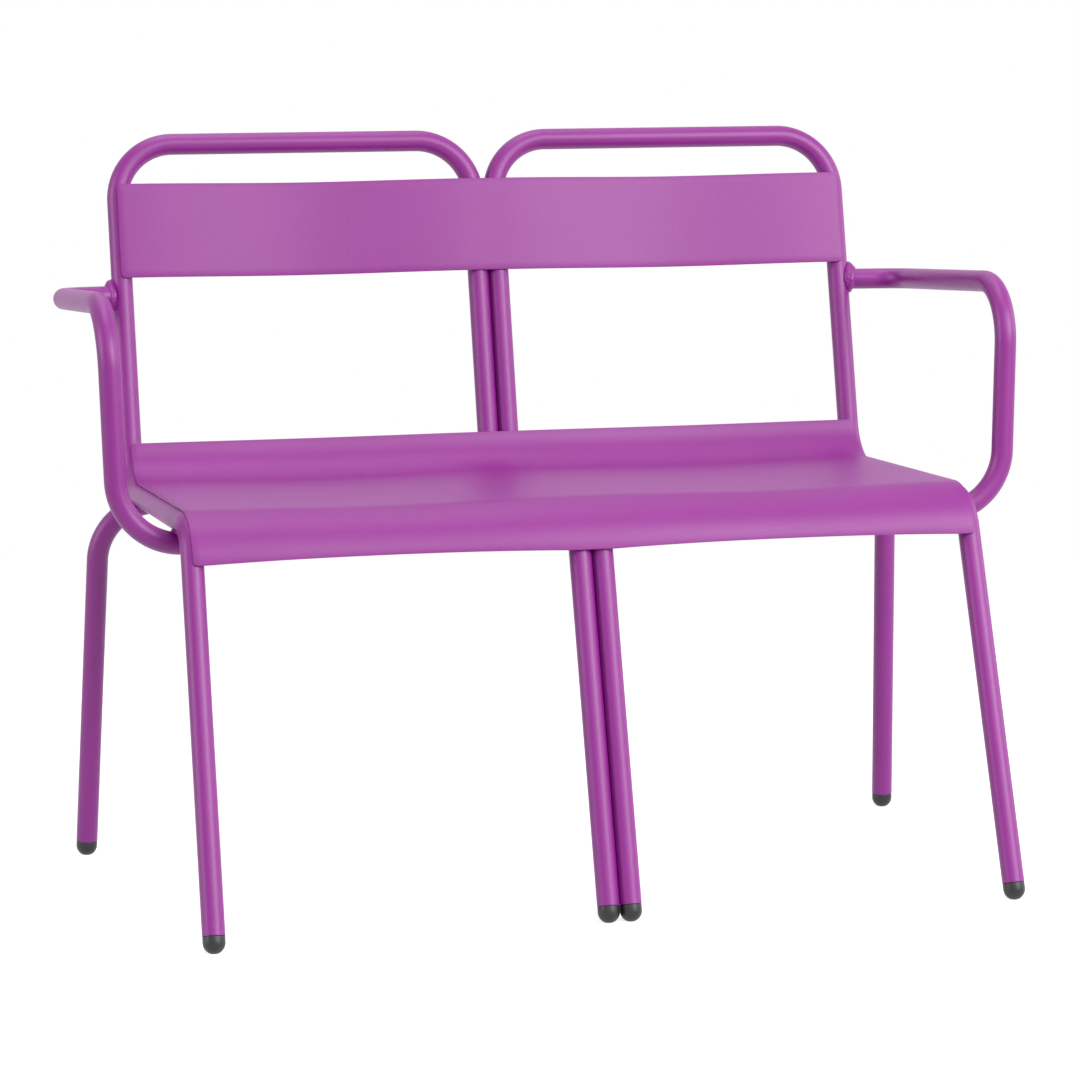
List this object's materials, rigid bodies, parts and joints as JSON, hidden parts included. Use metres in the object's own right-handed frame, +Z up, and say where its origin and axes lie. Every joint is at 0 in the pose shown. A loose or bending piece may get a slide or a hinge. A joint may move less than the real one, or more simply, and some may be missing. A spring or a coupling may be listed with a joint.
{
  "type": "garden bench",
  "caption": "Metal garden bench of bent round tube with loop armrests, and a sheet seat and sheet back rest, in purple powder coat.",
  "frame": {"origin": "on the floor, below the centre of the bench's bounding box", "axes": "+X along the bench, to the right as seen from the front; +Y to the rear; +Z up"},
  "size_m": [1.071, 0.6326, 0.8565],
  "materials": {
    "painted_tube": "satin powder coat, purple",
    "painted_sheet": "satin powder coat, purple",
    "painted_weld": "satin powder coat, purple",
    "foot_cap": "matte black"
  },
  "bodies": {
    "root": {"seat_frame_left": "painted_tube", "seat_frame_right": "painted_tube", "rear_leg_frame": "painted_tube", "arm_frame": "painted_tube", "seat_panel": "painted_sheet", "back_panel": "painted_sheet", "foot_cap_front_left": "foot_cap", "foot_cap_front_centre_left": "foot_cap", "foot_cap_front_centre_right": "foot_cap", "foot_cap_front_right": "foot_cap", "foot_cap_rear_left": "foot_cap", "foot_cap_rear_right": "foot_cap", "arm_weld_left": "painted_weld", "arm_weld_right": "painted_weld", "front_bar_welds": "painted_weld", "rear_bar_welds": "painted_weld", "seat_welds_left": "painted_weld", "seat_welds_right": "painted_weld", "back_welds_left": "painted_weld", "back_welds_right": "painted_weld"}
  },
  "joints": []
}
